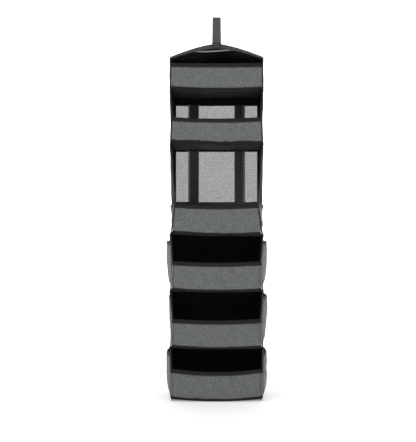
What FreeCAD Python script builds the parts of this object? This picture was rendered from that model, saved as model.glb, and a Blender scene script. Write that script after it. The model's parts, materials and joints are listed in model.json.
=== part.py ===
import FreeCAD, Part
import math
import os

# A hanging travel organizer: a column of six cloth trays under an arched cloth roof, held up by a
# webbing strap that goes over the grip of a suitcase's pull-out handle. Millimetres, +X across,
# -Y out through the open front, +Z up. The origin is on the axis of the grip inside the strap.

# Overall size
WIDTH = 260.0
DEPTH = 180.0
GRIP_HEIGHT = 1096.0  # from the bottom edge up to the grip's axis
GRIP_RADIUS = 15.0
BACK_Y = -10.0  # the back panel's outer face, which lies against the handle's tubes
FRONT_Y = BACK_Y - DEPTH

# The six trays, from the top one down: bottom edge above the organizer's own bottom edge, height of
# the front lip, and how far the lip bellies out at the middle
TRAY_BOTTOM = (867.5, 713.5, 461.5, 304.5, 146.5, 0.0)
LIP_HEIGHT = (71.5, 75.0, 86.5, 84.0, 81.5, 89.5)
LIP_BULGE = (4.0, 4.0, 4.0, 5.0, 5.0, 10.0)

# Cloth, bindings and floors
CLOTH = 1.6  # side and back panels
NET = 1.2  # mesh cloth
BINDING = 3.0  # folded tape round an edge, which is also the lip's depth at the corners
BINDING_HEIGHT = 11.5
EDGE_BAND_HEIGHT = 9.0
FLOOR = 7.0  # two layers of cloth with the board between them
BOARD = 1.5
BOARD_PLAY = 0.2
BOARD_MARGIN = 4.0  # from the board's edge to the cover's edge
PARTING = 0.3  # between cloth that stays with a tray and cloth that crumples above it

# Roof
ROOF_CORNER = 953.0  # underside at the two sides
ROOF_PEAK_FRONT = 992.0  # top side at the middle of the front edge
ROOF_PEAK_BACK = 975.0
ROOF_FALL = 0.371  # share of the fall from peak to corner reached half-way out, as a taut arch
ROOF_CLOTH = 1.8
ROOF_BAND_CORNER = 948.0
ROOF_BAND_MIDDLE = 977.0

# Back panel windows and the two lengths of webbing that carry the load down the back
WINDOW_TOP_MARGIN = {2: 22.0, 3: 5.5}  # for each tray that has windows, below the floor above
WINDOW_SIDE_MARGIN = 8.5
BACK_STRAP_CENTRE = 66.75
BACK_STRAP_WIDTH = 25.5
BACK_STRAP = 1.4

# Mesh pockets on the outside of the lower trays
POCKET_TRAYS = (3, 4, 5, 6)
POCKET_DEPTH = 9.0
POCKET_FRONT_INSET = 8.0
POCKET_SLOPE = 16.0

# Hanging strap, its hook-and-loop closure on the roof's front band and its seam at the back
STRAP_WIDTH = 24.0
STRAP = 2.0
TAB_HEIGHT = 11.0
PATCH = 1.2
PATCH_GAP = 0.6
PATCH_HEIGHT = 9.0
SEAM_Y = -8.0
SEAM_HEIGHT = 975.0
SEAM_CLEARANCE = 1.3
ANCHOR_HEIGHT = 24.0
ANCHOR_DROP = 2.4

HALF_WIDTH = WIDTH / 2
WALL_FRONT_Y = FRONT_Y + BINDING
WALL_BACK_Y = BACK_Y - CLOTH
TRAYS = range(1, len(TRAY_BOTTOM) + 1)


def z_at(height):
    """Z in the part's frame of a height above the organizer's bottom edge."""
    return height - GRIP_HEIGHT


def tray_z(tray):
    return z_at(TRAY_BOTTOM[tray - 1])


def lip_top_z(tray):
    return tray_z(tray) + LIP_HEIGHT[tray - 1]


def point(x, y, z):
    return FreeCAD.Vector(x, y, z)


def block(x_span, y_span, z_span):
    """A box from its lowest and highest value along each axis."""
    size = [span[1] - span[0] for span in (x_span, y_span, z_span)]
    return Part.makeBox(*size, point(x_span[0], y_span[0], z_span[0]))


def mirrored(shape):
    return shape.mirror(point(0, 0, 0), point(1, 0, 0))


def arc(left, middle, right):
    return Part.Arc(left, middle, right).toShape()


def line(start, end):
    return Part.LineSegment(start, end).toShape()


def prism(edges, direction):
    """The solid swept by a flat closed outline along a straight line."""
    return Part.Face(Part.Wire(edges)).extrude(direction)


def front_arc(y, bulge, z):
    """A level arc across the front, from side to side, bellied out by bulge at its middle."""
    return arc(point(-HALF_WIDTH, y, z), point(0, y - bulge, z), point(HALF_WIDTH, y, z))


def front_strip(bulge, z_span, thickness):
    """An upright strip of cloth across the front that bellies outwards."""
    bottom, top = z_span
    inner_y = WALL_FRONT_Y
    outer_y = inner_y - thickness
    edges = [
        front_arc(outer_y, bulge, bottom),
        line(point(HALF_WIDTH, outer_y, bottom), point(HALF_WIDTH, inner_y, bottom)),
        front_arc(inner_y, bulge, bottom),
        line(point(-HALF_WIDTH, inner_y, bottom), point(-HALF_WIDTH, outer_y, bottom)),
    ]
    return prism(edges, point(0, 0, top - bottom))


def floor_cover(tray):
    """The floor: an envelope of cloth that is open at the back, where its board slides in."""
    side = HALF_WIDTH - CLOTH
    z = tray_z(tray)
    bulge = LIP_BULGE[tray - 1] * (side / HALF_WIDTH) ** 2
    corner_y = WALL_FRONT_Y - LIP_BULGE[tray - 1] + bulge
    front = arc(point(-side, corner_y, z), point(0, corner_y - bulge, z), point(side, corner_y, z))
    edges = [
        front,
        line(point(side, corner_y, z), point(side, WALL_BACK_Y, z)),
        line(point(side, WALL_BACK_Y, z), point(-side, WALL_BACK_Y, z)),
        line(point(-side, WALL_BACK_Y, z), point(-side, corner_y, z)),
    ]
    slot_half = side - BOARD_MARGIN
    slot_bottom = z + (FLOOR - BOARD) / 2 - BOARD_PLAY
    slot = block(
        (-slot_half, slot_half),
        (WALL_FRONT_Y + BOARD_MARGIN, WALL_BACK_Y),
        (slot_bottom, slot_bottom + BOARD + 2 * BOARD_PLAY),
    )
    return prism(edges, point(0, 0, FLOOR)).cut(slot)


def floor_board(tray):
    """The stiff plastic sheet inside a floor."""
    half = HALF_WIDTH - CLOTH - BOARD_MARGIN - BOARD_PLAY
    bottom = tray_z(tray) + (FLOOR - BOARD) / 2
    y_span = (WALL_FRONT_Y + BOARD_MARGIN + BOARD_PLAY, WALL_BACK_Y - BOARD_PLAY)
    return block((-half, half), y_span, (bottom, bottom + BOARD))


def edge_band(tray):
    """The binding where a tray's lip is sewn to the front edge of its floor."""
    z = tray_z(tray)
    return front_strip(LIP_BULGE[tray - 1], (z, z + EDGE_BAND_HEIGHT), BINDING)


def lip_mesh(tray):
    z_span = (tray_z(tray) + EDGE_BAND_HEIGHT, lip_top_z(tray) - BINDING_HEIGHT)
    return front_strip(LIP_BULGE[tray - 1], z_span, NET)


def lip_binding(tray):
    top = lip_top_z(tray)
    return front_strip(LIP_BULGE[tray - 1], (top - BINDING_HEIGHT, top), BINDING)


def side_pair(z_span):
    """The left and right panels between two heights, as two solids."""
    y_span = (WALL_FRONT_Y, WALL_BACK_Y)
    right = block((HALF_WIDTH - CLOTH, HALF_WIDTH), y_span, z_span)
    return [mirrored(right), right]


def tray_walls(tray):
    """The stretch of the side and back panels that stays upright with a tray, up to its lip."""
    z_span = (tray_z(tray), lip_top_z(tray))
    back = block((-HALF_WIDTH, HALF_WIDTH), (WALL_BACK_Y, BACK_Y), z_span)
    return Part.makeCompound(side_pair(z_span) + [back])


def roof_line(y, corner, peak):
    """The arch at depth y, as a left and a right arc, by its two corner heights and its peak."""
    top = point(0, y, z_at(peak))
    halves = []
    for side in (-HALF_WIDTH, HALF_WIDTH):
        halfway = point(side / 2, y, z_at(peak + (corner - peak) * ROOF_FALL))
        halves.append(arc(point(side, y, z_at(corner)), halfway, top))
    return halves


def top_walls():
    """The top compartment's panels, which reach from its floor up to the roof."""
    bottom = tray_z(1)
    corner = z_at(ROOF_CORNER)
    edges = roof_line(WALL_BACK_Y, ROOF_CORNER, ROOF_PEAK_BACK - ROOF_CLOTH) + [
        line(point(HALF_WIDTH, WALL_BACK_Y, corner), point(HALF_WIDTH, WALL_BACK_Y, bottom)),
        line(point(HALF_WIDTH, WALL_BACK_Y, bottom), point(-HALF_WIDTH, WALL_BACK_Y, bottom)),
        line(point(-HALF_WIDTH, WALL_BACK_Y, bottom), point(-HALF_WIDTH, WALL_BACK_Y, corner)),
    ]
    back = prism(edges, point(0, CLOTH, 0))
    return Part.makeCompound(side_pair((bottom, corner)) + [back])


def crumple_span(tray):
    """Heights of the cloth between a tray's lip and the floor above, which folds up as it closes."""
    return (lip_top_z(tray) + PARTING, tray_z(tray - 1))


def window_spans():
    """The left, middle and right windows between the lengths of webbing, along X."""
    strap_outer = BACK_STRAP_CENTRE + BACK_STRAP_WIDTH / 2
    strap_inner = BACK_STRAP_CENTRE - BACK_STRAP_WIDTH / 2
    edge = HALF_WIDTH - WINDOW_SIDE_MARGIN
    return [(-edge, -strap_outer), (-strap_inner, strap_inner), (strap_outer, edge)]


def window_panes(tray):
    """One block per window, through the back panel."""
    bottom, top = crumple_span(tray)
    z_span = (bottom, top - WINDOW_TOP_MARGIN[tray])
    return [block(x_span, (WALL_BACK_Y, BACK_Y), z_span) for x_span in window_spans()]


def upper_walls(tray):
    """The stretch of the side and back panels above a tray's lip."""
    z_span = crumple_span(tray)
    back = block((-HALF_WIDTH, HALF_WIDTH), (WALL_BACK_Y, BACK_Y), z_span)
    if tray in WINDOW_TOP_MARGIN:
        for pane in window_panes(tray):
            back = back.cut(pane)
    return Part.makeCompound(side_pair(z_span) + back.Solids)


def window_mesh(tray):
    """The mesh sewn into the windows of a back panel."""
    middle_y = (WALL_BACK_Y + BACK_Y) / 2
    bottom, top = crumple_span(tray)
    y_span = (middle_y - NET / 2, middle_y + NET / 2)
    z_span = (bottom, top - WINDOW_TOP_MARGIN[tray])
    return Part.makeCompound([block(x_span, y_span, z_span) for x_span in window_spans()])


def back_straps(tray):
    """Two lengths of webbing on the back, from one floor to the next."""
    top = z_at(ROOF_CORNER) if tray == 1 else tray_z(tray - 1)
    x_span = (BACK_STRAP_CENTRE - BACK_STRAP_WIDTH / 2, BACK_STRAP_CENTRE + BACK_STRAP_WIDTH / 2)
    right = block(x_span, (BACK_Y, BACK_Y + BACK_STRAP), (tray_z(tray) + PARTING, top))
    return Part.makeCompound([mirrored(right), right])


def pocket_outline(inset, z):
    """The four corners of a pocket in plan, on the right side, at a given inset from its outside."""
    front = WALL_FRONT_Y + POCKET_FRONT_INSET + inset
    back = WALL_BACK_Y - POCKET_FRONT_INSET - inset
    outside = HALF_WIDTH + POCKET_DEPTH - inset
    sheet_span = (front + POCKET_SLOPE, back - POCKET_SLOPE)
    corners = [(HALF_WIDTH, front), (outside, sheet_span[0]), (outside, sheet_span[1]), (HALF_WIDTH, back)]
    return Part.makePolygon([point(x, y, z) for x, y in corners + corners[:1]])


def side_pockets(tray):
    """The mesh pocket on each side of a tray: bellied out, sewn shut below and open at its top."""
    bottom, top = tray_z(tray), lip_top_z(tray)
    outside = Part.Face(pocket_outline(0, bottom)).extrude(point(0, 0, top - bottom))
    hollow = Part.Face(pocket_outline(NET, bottom + NET)).extrude(point(0, 0, top - bottom))
    right = outside.cut(hollow)
    return Part.makeCompound([mirrored(right), right])


def roof_section(y, peak):
    """The closed outline of the roof's cloth at depth y."""
    top_corner = ROOF_CORNER + ROOF_CLOTH
    upper = roof_line(y, top_corner, peak)
    lower = roof_line(y, ROOF_CORNER, peak - ROOF_CLOTH)
    ends = [
        line(point(side, y, z_at(ROOF_CORNER)), point(side, y, z_at(top_corner)))
        for side in (-HALF_WIDTH, HALF_WIDTH)
    ]
    return Part.Wire([upper[0], upper[1], ends[1], lower[1], lower[0], ends[0]])


def roof_cover():
    sections = [roof_section(WALL_FRONT_Y, ROOF_PEAK_FRONT), roof_section(BACK_Y, ROOF_PEAK_BACK)]
    return Part.makeLoft(sections, True, True)


def roof_front_band():
    """The bound front edge of the roof, deepest at the middle."""
    top_corner = ROOF_CORNER + ROOF_CLOTH
    ends = [
        line(point(side, FRONT_Y, z_at(ROOF_BAND_CORNER)), point(side, FRONT_Y, z_at(top_corner)))
        for side in (-HALF_WIDTH, HALF_WIDTH)
    ]
    upper = roof_line(FRONT_Y, top_corner, ROOF_PEAK_FRONT)
    lower = roof_line(FRONT_Y, ROOF_BAND_CORNER, ROOF_BAND_MIDDLE)
    edges = [upper[0], upper[1], ends[1], lower[1], lower[0], ends[0]]
    return prism(edges, point(0, BINDING, 0))


def patch(y_span):
    """A strip of hook-and-loop tape on the middle of the roof's front band."""
    top = z_at(ROOF_PEAK_FRONT) - PATCH
    return block((-STRAP_WIDTH / 2, STRAP_WIDTH / 2), y_span, (top - PATCH_HEIGHT, top))


def roof_loop_patch():
    return patch((FRONT_Y - PATCH, FRONT_Y))


def strap_hook_patch():
    inner = FRONT_Y - PATCH - PATCH_GAP
    return patch((inner - PATCH, inner))


def strap_anchor():
    """The end of the strap that is box-stitched to the outside of the back panel."""
    top = z_at(SEAM_HEIGHT) - ANCHOR_DROP
    z_span = (top - ANCHOR_HEIGHT, top)
    return block((-STRAP_WIDTH / 2, STRAP_WIDTH / 2), (BACK_Y, BACK_Y + STRAP), z_span)


def around_grip(radius, degrees):
    angle = math.radians(degrees)
    return point(-STRAP_WIDTH / 2, radius * math.cos(angle), radius * math.sin(angle))


def tangent_degrees(y, z, turn):
    """Where a straight run from (y, z) meets the grip, as an angle about the grip's axis."""
    return math.degrees(math.atan2(z, y) + turn * math.acos(GRIP_RADIUS / math.hypot(y, z)))


def hanging_strap():
    """The strap: a tab down the roof's front band, a run up to the grip, over it and down the back."""
    tab_y = FRONT_Y - 2 * PATCH - PATCH_GAP
    tab_top = z_at(ROOF_PEAK_FRONT)
    seam_z = z_at(SEAM_HEIGHT)
    front = tangent_degrees(tab_y, tab_top, -1) + 360
    rear = tangent_degrees(SEAM_Y, seam_z, 1)
    run = around_grip(GRIP_RADIUS, rear) - point(-STRAP_WIDTH / 2, SEAM_Y, seam_z)
    run.normalize()
    end_inner = point(-STRAP_WIDTH / 2, SEAM_Y, seam_z) + run * SEAM_CLEARANCE
    outward = around_grip(STRAP, rear) - around_grip(0, rear)
    tangent = around_grip(STRAP, front) - around_grip(0, front)
    tab_inner = point(-STRAP_WIDTH / 2, tab_y, tab_top)
    tab_outer = tab_inner + tangent
    drop = point(0, 0, -TAB_HEIGHT)
    tab_foot = point(-STRAP_WIDTH / 2, tab_y, tab_top) + drop
    tab_foot_outer = point(-STRAP_WIDTH / 2, tab_y - STRAP, tab_foot.z)
    shoulder = point(-STRAP_WIDTH / 2, tab_y - STRAP, tab_top)
    middle = (front + rear) / 2
    inner_arc = [around_grip(GRIP_RADIUS, angle) for angle in (front, middle, rear)]
    outer_arc = [around_grip(GRIP_RADIUS + STRAP, angle) for angle in (rear, middle, front)]
    edges = [
        line(tab_foot, tab_inner),
        line(tab_inner, inner_arc[0]),
        arc(*inner_arc),
        line(inner_arc[2], end_inner),
        line(end_inner, end_inner + outward),
        line(end_inner + outward, outer_arc[0]),
        arc(*outer_arc),
        line(outer_arc[2], tab_outer),
        line(tab_outer, shoulder),
        line(shoulder, tab_foot_outer),
        line(tab_foot_outer, tab_foot),
    ]
    return prism(edges, point(STRAP_WIDTH, 0, 0))


def pieces():
    """Every node's name and shape."""
    yield "roof_cover", roof_cover()
    yield "roof_front_band", roof_front_band()
    yield "roof_loop_patch", roof_loop_patch()
    yield "strap_hook_patch", strap_hook_patch()
    yield "strap_anchor", strap_anchor()
    yield "hanging_strap", hanging_strap()
    for tray in TRAYS:
        yield f"floor_cover_{tray}", floor_cover(tray)
        yield f"floor_board_{tray}", floor_board(tray)
        yield f"edge_band_{tray}", edge_band(tray)
        yield f"lip_mesh_{tray}", lip_mesh(tray)
        yield f"lip_binding_{tray}", lip_binding(tray)
        yield f"tray_walls_{tray}", top_walls() if tray == 1 else tray_walls(tray)
        yield f"back_straps_{tray}", back_straps(tray)
    for tray in TRAYS[1:]:
        yield f"upper_walls_{tray}", upper_walls(tray)
    for tray in WINDOW_TOP_MARGIN:
        yield f"window_mesh_{tray}", window_mesh(tray)
    for tray in POCKET_TRAYS:
        yield f"side_pockets_{tray}", side_pockets(tray)


os.makedirs("parts", exist_ok=True)
for name, shape in pieces():
    solids = shape.Solids
    print(f"{name}: {len(solids)} solids, {shape.Volume / 1000:.1f} cm3, valid {shape.isValid()}")
    shape.exportStep(f"parts/{name}.step")
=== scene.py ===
import json
import math

import bpy
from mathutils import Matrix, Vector, noise


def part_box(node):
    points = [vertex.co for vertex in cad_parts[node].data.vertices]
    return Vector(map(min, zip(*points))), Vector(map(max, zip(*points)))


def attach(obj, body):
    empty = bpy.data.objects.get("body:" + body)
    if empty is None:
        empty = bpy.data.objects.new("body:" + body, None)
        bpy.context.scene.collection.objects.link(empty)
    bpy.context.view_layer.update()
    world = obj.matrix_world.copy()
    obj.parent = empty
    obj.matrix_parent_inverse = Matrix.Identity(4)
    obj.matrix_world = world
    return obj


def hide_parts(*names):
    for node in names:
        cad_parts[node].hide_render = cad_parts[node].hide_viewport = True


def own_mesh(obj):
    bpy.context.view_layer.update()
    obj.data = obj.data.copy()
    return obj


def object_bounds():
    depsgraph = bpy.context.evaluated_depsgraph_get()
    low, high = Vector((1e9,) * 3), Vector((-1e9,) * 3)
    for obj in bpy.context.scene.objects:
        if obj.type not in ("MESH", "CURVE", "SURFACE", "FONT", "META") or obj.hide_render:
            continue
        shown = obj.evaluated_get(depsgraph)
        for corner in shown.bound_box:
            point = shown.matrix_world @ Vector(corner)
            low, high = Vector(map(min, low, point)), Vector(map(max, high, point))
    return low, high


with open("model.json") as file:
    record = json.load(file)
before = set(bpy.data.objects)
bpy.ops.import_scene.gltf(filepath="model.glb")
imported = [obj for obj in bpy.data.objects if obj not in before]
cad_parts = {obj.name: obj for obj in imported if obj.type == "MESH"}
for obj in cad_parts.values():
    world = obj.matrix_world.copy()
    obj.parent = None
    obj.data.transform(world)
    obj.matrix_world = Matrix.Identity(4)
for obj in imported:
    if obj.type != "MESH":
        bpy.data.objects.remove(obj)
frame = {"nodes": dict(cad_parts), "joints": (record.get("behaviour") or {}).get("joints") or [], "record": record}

cad_low, cad_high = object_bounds()


# ---- Floor boards ----
# Six sheets of grey polypropylene, 1.5 mm thick and cut with a knife, slid into the floors from
# behind before the back seam is closed. They bow a little under what the trays carry.

TRAYS = range(1, 7)
TOP_TRAY = 1
BOTTOM_TRAY = 6
SAG = {1: 0.0025, 2: 0.0025, 3: 0.0025, 4: 0.0025, 5: 0.0025, 6: 0.005}  # at the middle of the front edge
LEAN = {1: 0.001, 2: 0.0025, 3: 0.003, 4: 0.001, 5: 0.001, 6: 0.0}  # of a floor, down to the right


def body_of(tray):
    return "top" if tray == TOP_TRAY else f"tray_{tray}"


def steps(low, high, step=0.006):
    """Evenly spaced values from low to high, at most a step apart."""
    count = max(1, math.ceil((high - low) / step - 1e-6))
    return [low + (high - low) * i / count for i in range(count + 1)]


def share(value, low, high):
    """How far value has come from low to high, from 0 to 1."""
    return min(1.0, max(0.0, (value - low) / (high - low)))


def make_mesh(name, points, faces, uvs):
    """A new smooth object from points, faces and one UV pair for each point."""
    mesh = bpy.data.meshes.new(name)
    mesh.from_pydata([tuple(p) for p in points], [], faces)
    mesh.update()
    mesh.polygons.foreach_set("use_smooth", [True] * len(mesh.polygons))
    layer = mesh.uv_layers.new(name="cloth")
    for loop in mesh.loops:
        layer.data[loop.index].uv = uvs[loop.vertex_index]
    obj = bpy.data.objects.new(name, mesh)
    bpy.context.scene.collection.objects.link(obj)
    return obj


def sheet(name, across, along, place):
    """A sheet with a point for every (u, v) in metres on the flat cloth, put where place(u, v) says.
    Its UVs are the flat cloth's own metres, so a weave keeps its scale."""
    wide = len(across)
    flat = [(u, v) for v in along for u in across]
    faces = []
    for row in range(len(along) - 1):
        for column in range(wide - 1):
            first = row * wide + column
            faces.append((first, first + 1, first + wide + 1, first + wide))
    return make_mesh(name, [place(u, v) for u, v in flat], faces, flat)


def thicken(obj, thickness):
    """Gives a sheet its thickness, half to each side."""
    solid = obj.modifiers.new("thickness", "SOLIDIFY")
    solid.thickness = thickness
    solid.offset = 0.0
    return obj


def paint(obj, material, slot, *nodes):
    """Gives a piece its material and hides the CAD nodes that it stands for. slot is not used."""
    obj.data.materials.append(material)
    if nodes:
        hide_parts(*nodes)
    return obj


def finish_piece(obj, material, body, slot, *nodes):
    """Paints a piece and fixes it to its body."""
    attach(paint(obj, material, slot, *nodes), body)


def drift(x, y, z):
    """A number from about -1 to 1 that wanders smoothly with x, y and z, the same on every run."""
    return noise.noise(Vector((x, y, z)))


def linear(code):
    """A colour from its sRGB hex code, as linear red, green, blue and alpha."""
    channels = [int(code[i:i + 2], 16) / 255 for i in (1, 3, 5)]
    return [c / 12.92 if c <= 0.04045 else ((c + 0.055) / 1.055) ** 2.4 for c in channels] + [1.0]


def add(tree, kind, inputs=None, **settings):
    """Adds a shader node. inputs maps a socket's name or number to a value, to another node's output,
    or to another node, which gives its first output."""
    made = tree.nodes.new(f"ShaderNode{kind}")
    for key, value in settings.items():
        setattr(made, key, value)
    for key, value in (inputs or {}).items():
        value = value.outputs[0] if isinstance(value, bpy.types.Node) else value
        if isinstance(value, bpy.types.NodeSocket):
            tree.links.new(value, made.inputs[key])
        else:
            made.inputs[key].default_value = value
    return made


def blank_material(name):
    """A material, its empty node tree, and its cloth UVs as a vector in metres."""
    material = bpy.data.materials.new(name)
    material.use_nodes = True
    tree = material.node_tree
    tree.nodes.clear()
    return material, tree, add(tree, "UVMap", uv_map="cloth")


def finish_material(material, look):
    """Ends a material with a shader whose sockets take the values and outputs in look."""
    shader = add(material.node_tree, "BsdfPrincipled", look)
    add(material.node_tree, "OutputMaterial", {0: shader})
    return material


def mottled(tree, vector, scale, first, second):
    """A colour that wanders between two close ones, in patches 1 / scale metres across."""
    cloud = add(tree, "TexNoise", {"Vector": vector, "Scale": scale, "Detail": 3.0})
    tones = {"Factor": cloud, 6: linear(first), 7: linear(second)}
    return add(tree, "Mix", tones, data_type="RGBA").outputs[2]


def polypropylene():
    """Extruded polypropylene sheet: a cloudy mid grey with a waxy gloss."""
    material, tree, metres = blank_material("polypropylene_sheet")
    colour = mottled(tree, metres, 90.0, "#6a6c6e", "#7e8082")
    return finish_material(material, {"Base Color": colour, "Roughness": 0.45, "IOR": 1.49})


def floor_rise(x, y, tray):
    """How much higher than flat a floor is at (x, y). The middle of its front edge sags between the
    side seams; the bottom tray's middle rests at its own level and its corners are drawn up."""
    low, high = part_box(f"tray_walls_{tray}")
    front = share(y, high.y, low.y) ** 1.5
    sag = SAG[tray] * (1 - (x / high.x) ** 2) * front + LEAN[tray] * x / high.x * front
    return (SAG[tray] if tray == BOTTOM_TRAY else 0.0) - sag


board_plastic = polypropylene()
for tray in TRAYS:
    low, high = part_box(f"floor_board_{tray}")
    board_z = (low.z + high.z) / 2
    board = sheet(
        f"board_{tray}", steps(low.x, high.x, 0.02), steps(low.y, high.y, 0.02),
        lambda u, v: (u, v, board_z + floor_rise(u, v, tray)),
    )
    thicken(board, high.z - low.z)
    finish_piece(board, board_plastic, body_of(tray), "board", f"floor_board_{tray}")


# ---- Floors ----
# Each floor is an envelope of black 600-denier nylon, sewn on three sides and turned out, with the
# board inside. Its seam allowances make it thinner and rounded along the edges.

EDGE_ROWS = (0.0003, 0.001, 0.002, 0.0035)  # extra rows of points round a soft edge


def rounded_steps(low, high, step=0.006):
    """Steps with extra values near both ends, for a rounded edge."""
    ends = [low + d for d in EDGE_ROWS] + [high - d for d in EDGE_ROWS]
    return sorted(steps(low, high, step) + ends)


def pillow(name, across, along, place, half):
    """A closed soft slab: two sheets that meet along their edges, each half(u, v, side) from the
    middle, with side 1 for the upper sheet and -1 for the lower."""
    wide, deep = len(across), len(along)
    points, uvs, number = [], [], {}
    for side in (1, -1):
        for row, v in enumerate(along):
            for column, u in enumerate(across):
                rim = row in (0, deep - 1) or column in (0, wide - 1)
                if rim and side < 0:
                    number[side, row, column] = number[1, row, column]
                    continue
                x, y, z = place(u, v)
                number[side, row, column] = len(points)
                points.append((x, y, z + side * (0.0 if rim else half(u, v, side))))
                uvs.append((u, v))
    faces = []
    for side in (1, -1):
        for row in range(deep - 1):
            for column in range(wide - 1):
                ring = [(row, column), (row, column + 1), (row + 1, column + 1), (row + 1, column)]
                corners = [number[side, r, c] for r, c in ring]
                faces.append(corners if side > 0 else corners[::-1])
    return make_mesh(name, points, faces, uvs)


def wave(tree, length, pitch):
    """A wave from -1 to 1 that repeats every pitch metres of length."""
    angle = add(tree, "Math", {0: length, 1: 2 * math.pi / pitch}, operation="MULTIPLY")
    return add(tree, "Math", {0: angle}, operation="SINE")


def nylon(name, dark, light):
    """Plain-woven 600-denier nylon, coated inside: near black, matt, with a faint bluish bloom where
    light grazes the yarn. Its yarns are drawn 1.3 mm apart, twice the real spacing, so they show."""
    material, tree, metres = blank_material(name)
    split = add(tree, "SeparateXYZ", {0: metres})
    crossing = {axis: wave(tree, split.outputs[axis], 0.0013) for axis in (0, 1)}
    yarns = add(tree, "Math", crossing, operation="MULTIPLY")
    slub = add(tree, "TexNoise", {"Vector": metres, "Scale": 260.0, "Detail": 2.0})
    height = add(tree, "Math", {0: yarns, 1: slub}, operation="ADD")
    bump = add(tree, "Bump", {"Height": height, "Distance": 0.00025, "Strength": 0.6})
    return finish_material(material, {
        "Base Color": mottled(tree, metres, 30.0, dark, light), "Normal": bump, "Roughness": 0.62,
        "Specular IOR Level": 0.15, "Sheen Weight": 0.08, "Sheen Roughness": 0.4,
        "Sheen Tint": linear("#c9cbd6"),
    })


FLOOR_GAP = 0.0008  # between a floor's rim and the panels that it is sewn to
UNDER_DROOP = 0.001  # of the lower cloth, which hangs in slack folds under the board

BULGE = {  # how far each lip's middle stands out in front of its ends
    tray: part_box(f"tray_walls_{tray}")[0].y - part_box(f"lip_binding_{tray}")[0].y - 0.003 for tray in TRAYS
}
FLOOR_BULGE = 0.55  # the floors' share of that
TUCK = 0.006  # how much narrower than the others the bottom floor is, on each side

floor_nylon = nylon("woven_nylon_floor", "#17181a", "#212226")
for tray in TRAYS:
    low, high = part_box(f"floor_cover_{tray}")
    front_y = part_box(f"tray_walls_{tray}")[0].y
    floor_z, floor_half = (low.z + high.z) / 2, (high.z - low.z) / 2

    def floor_place(u, v):
        ripple = drift(u * 40, v * 40, tray * 7.0) * 0.0006
        out = FLOOR_BULGE * BULGE[tray] * (1 - (u / high.x) ** 2) * share(v, high.y, front_y) ** 3
        narrow = 1 - TUCK / high.x if tray == BOTTOM_TRAY else 1.0
        return u * narrow, v - out, floor_z + floor_rise(u, v, tray) + ripple

    def floor_swell(u, v, side):
        edge = min(u - low.x, high.x - u, v - front_y, high.y - v)
        round_edge = share(edge, 0.0, floor_half) - 1
        swell = floor_half * math.sqrt(max(0.0, 1 - round_edge * round_edge))
        if side < 0 and tray != BOTTOM_TRAY:
            spare = share(edge, 0.0, 0.012)
            fold = drift(u / 0.07, v / 0.016, tray * 11.0)
            dent = drift(u / 0.03, v / 0.03, tray * 5.0)
            swell += spare * (UNDER_DROOP + 0.0017 * fold + 0.0008 * dent)
        return swell

    floor = pillow(
        f"floor_{tray}", rounded_steps(low.x + FLOOR_GAP, high.x - FLOOR_GAP),
        rounded_steps(front_y + FLOOR_GAP, high.y - FLOOR_GAP), floor_place, floor_swell,
    )
    finish_piece(floor, floor_nylon, body_of(tray), "floor_cloth", f"floor_cover_{tray}")


# ---- Side and back panels ----
# One run of the same nylon goes down each side and the back. It carries the trays, so it is drawn
# tight down its length, pulls in a little between the floors and creases out from their corners.

PANEL = 0.0012  # the cloth's drawn thickness
CEILING = {tray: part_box(f"floor_cover_{tray - 1}")[0].z for tray in TRAYS if tray != TOP_TRAY}
CEILING[TOP_TRAY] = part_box("roof_cover")[0].z
FLOOR_Z = {tray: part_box(f"floor_cover_{tray}")[0].z for tray in TRAYS}
WINDOWED = (2, 3)


def hang_between(obj, tray):
    """Fixes cloth that reaches from a tray up to the floor above to the body that holds that floor (the top for
    the top tray); below the top it also gets a mesh of its own.
    """
    if tray == TOP_TRAY:
        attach(obj, "top")
        return
    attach(obj, body_of(tray - 1))
    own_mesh(obj)


def creases(u, v, wide, high, seed):
    """How far a panel stands off flat at (u, v): broad dents, pull lines fanned out from each corner,
    and small puckers along the seams above and below. It is nothing along its edges."""
    rim = min(1.0, min(u, wide - u, v, high - v) / 0.02)
    dent = 0.0028 * drift(u / 0.075, v / 0.055, seed)
    fan = 0.0
    for corner_u, corner_v in ((0, 0), (wide, 0), (0, high), (wide, high)):
        out = math.hypot(u - corner_u, v - corner_v)
        angle = math.atan2(abs(v - corner_v), abs(u - corner_u) + 1e-6)
        wander = drift(corner_u * 9, corner_v * 9, seed + out * 6)
        fan += 0.0011 * math.sin(angle * 13 + wander * 4) * math.exp(-((out - 0.035) / 0.04) ** 2)
    seam = min(v, high - v)
    pucker = 0.0008 * math.sin(2 * math.pi * u / 0.013 + 3 * drift(u * 60, seed, 0))
    return rim * (dent + fan) + pucker * math.exp(-((seam - 0.006) / 0.006) ** 2)


SIDE_NAME = {-1: "left", 1: "right"}
SETTLE_FRAMES = 16
SETTLE_LIMIT = 0.008  # the furthest that a point may move
SEWN = 0.001  # points nearer than this to an edge are sewn


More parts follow.
